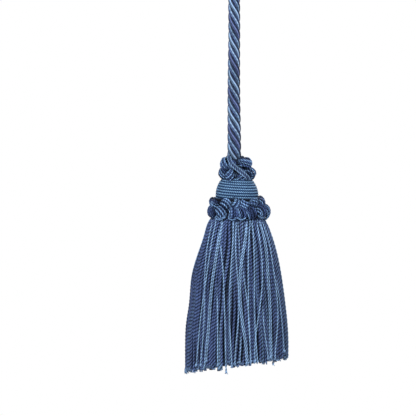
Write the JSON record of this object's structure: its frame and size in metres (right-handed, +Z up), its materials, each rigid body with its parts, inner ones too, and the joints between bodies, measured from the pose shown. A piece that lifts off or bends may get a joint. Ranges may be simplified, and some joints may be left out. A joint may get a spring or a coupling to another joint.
{
  "type": "tassel",
  "caption": "Furnishing tassel on a twisted rope with an eye: looped collar, domed ribbed head, looped ruff and a full skirt of plied yarn.",
  "frame": {"origin": "the point inside the top of the rope's eye that bears on the peg or hook", "axes": "+Z up along the hanging rope; the tassel's front, as pictured, faces -Y; +X to the right seen from the front"},
  "size_m": [0.0536, 0.0534, 0.2545],
  "materials": {
    "rope": "silky twisted yarn, light blue, navy and purple-blue",
    "whipping": "tight navy yarn binding",
    "collar": "looped cord, navy with light blue",
    "head": "level ribs of light blue yarn over navy",
    "ruff": "looped cord, navy with light blue",
    "skirt": "plied yarn, mostly navy, some light blue"
  },
  "bodies": {
    "root": {"rope": "rope", "whipping": "whipping", "collar": "collar", "head": "head", "ruff": "ruff", "skirt": "skirt"}
  },
  "joints": []
}
